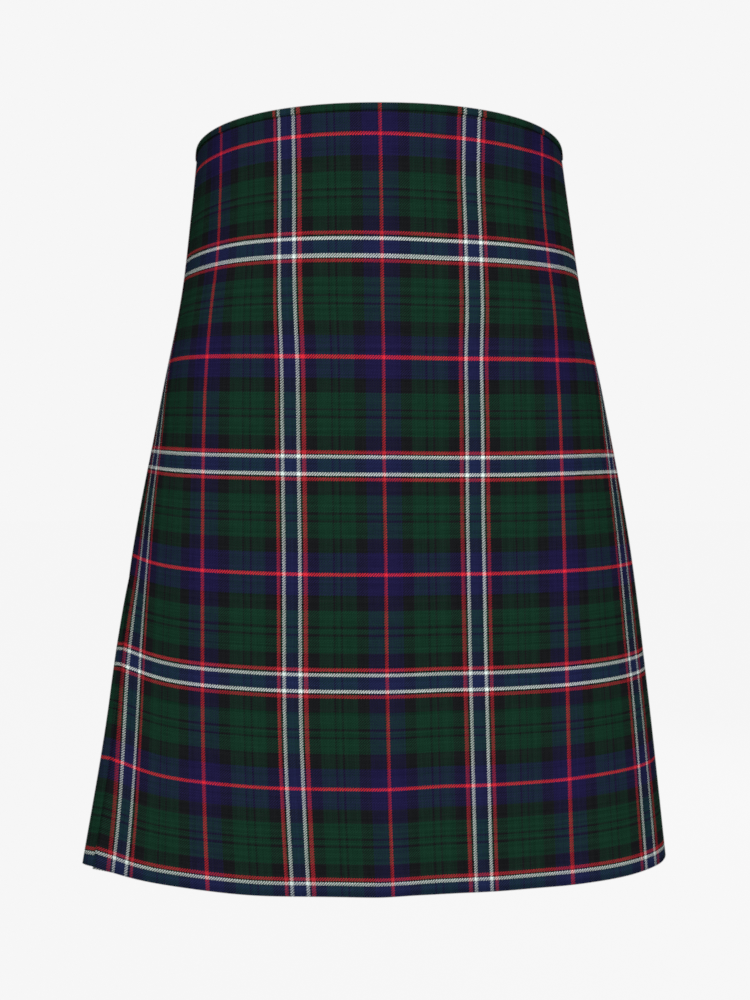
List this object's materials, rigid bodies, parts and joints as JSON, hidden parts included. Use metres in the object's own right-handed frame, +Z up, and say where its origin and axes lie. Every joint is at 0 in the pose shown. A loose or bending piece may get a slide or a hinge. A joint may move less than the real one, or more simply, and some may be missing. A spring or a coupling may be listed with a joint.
{
  "type": "scottish kilt",
  "caption": "Knee-length wrapped kilt of checked wool, worn open and hollow: flat overlapping aprons in front, knife pleats behind, bound waist, leather straps with buckles.",
  "frame": {"origin": "middle of the waist opening, level with its top edge", "axes": "+Z up the wearer's body, -Y the way the wearer faces, +X to the wearer's left"},
  "size_m": [0.4824, 0.2883, 0.6098],
  "materials": {
    "tartan_wool": "matt 2/2 twill worsted wool, woven check of bottle green, navy and black with red and white lines",
    "tartan_binding": "the same twill wool cut as a narrow waist binding",
    "leather": "black bridle leather, smooth grain, satin",
    "buckle_metal": "polished nickel plate, lightly rubbed"
  },
  "bodies": {
    "root": {"over_apron": "tartan_wool", "under_apron": "tartan_wool", "pleated_back": "tartan_wool", "binding_over": "tartan_binding", "binding_under": "tartan_binding", "binding_back": "tartan_binding", "strap_left_waist": "leather", "chape_left_waist": "leather", "keeper_left_waist": "leather", "buckle_left_waist": "buckle_metal", "prong_left_waist": "buckle_metal", "strap_right_waist": "leather", "chape_right_waist": "leather", "keeper_right_waist": "leather", "buckle_right_waist": "buckle_metal", "prong_right_waist": "buckle_metal", "strap_right_hip": "leather", "chape_right_hip": "leather", "keeper_right_hip": "leather", "buckle_right_hip": "buckle_metal", "prong_right_hip": "buckle_metal"}
  },
  "joints": []
}
